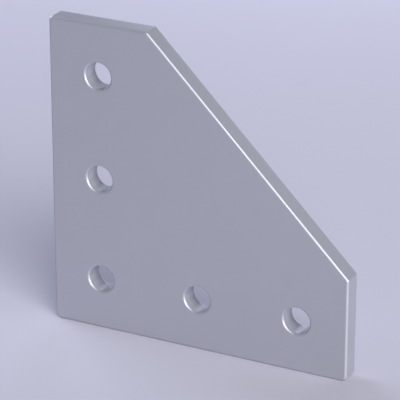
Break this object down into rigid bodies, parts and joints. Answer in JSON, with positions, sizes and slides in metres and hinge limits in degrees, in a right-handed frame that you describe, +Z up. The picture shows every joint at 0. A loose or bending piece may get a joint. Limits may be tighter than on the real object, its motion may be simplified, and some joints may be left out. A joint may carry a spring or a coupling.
{
  "type": "corner joining plate",
  "caption": "Flat aluminium corner plate with a slanted edge and a row of screw holes along each leg, for joining slotted framing bars at a right angle.",
  "frame": {"origin": "middle of the bottom edge, on the surface that the plate stands on", "axes": "+X along the bottom edge, away from the upright edge; +Y through the thickness, from the front face to the back face; +Z up the upright edge"},
  "size_m": [0.06, 0.004, 0.06],
  "materials": {
    "anodised": "matt, clear anodised"
  },
  "bodies": {
    "root": {"corner_plate": "anodised"}
  },
  "joints": []
}
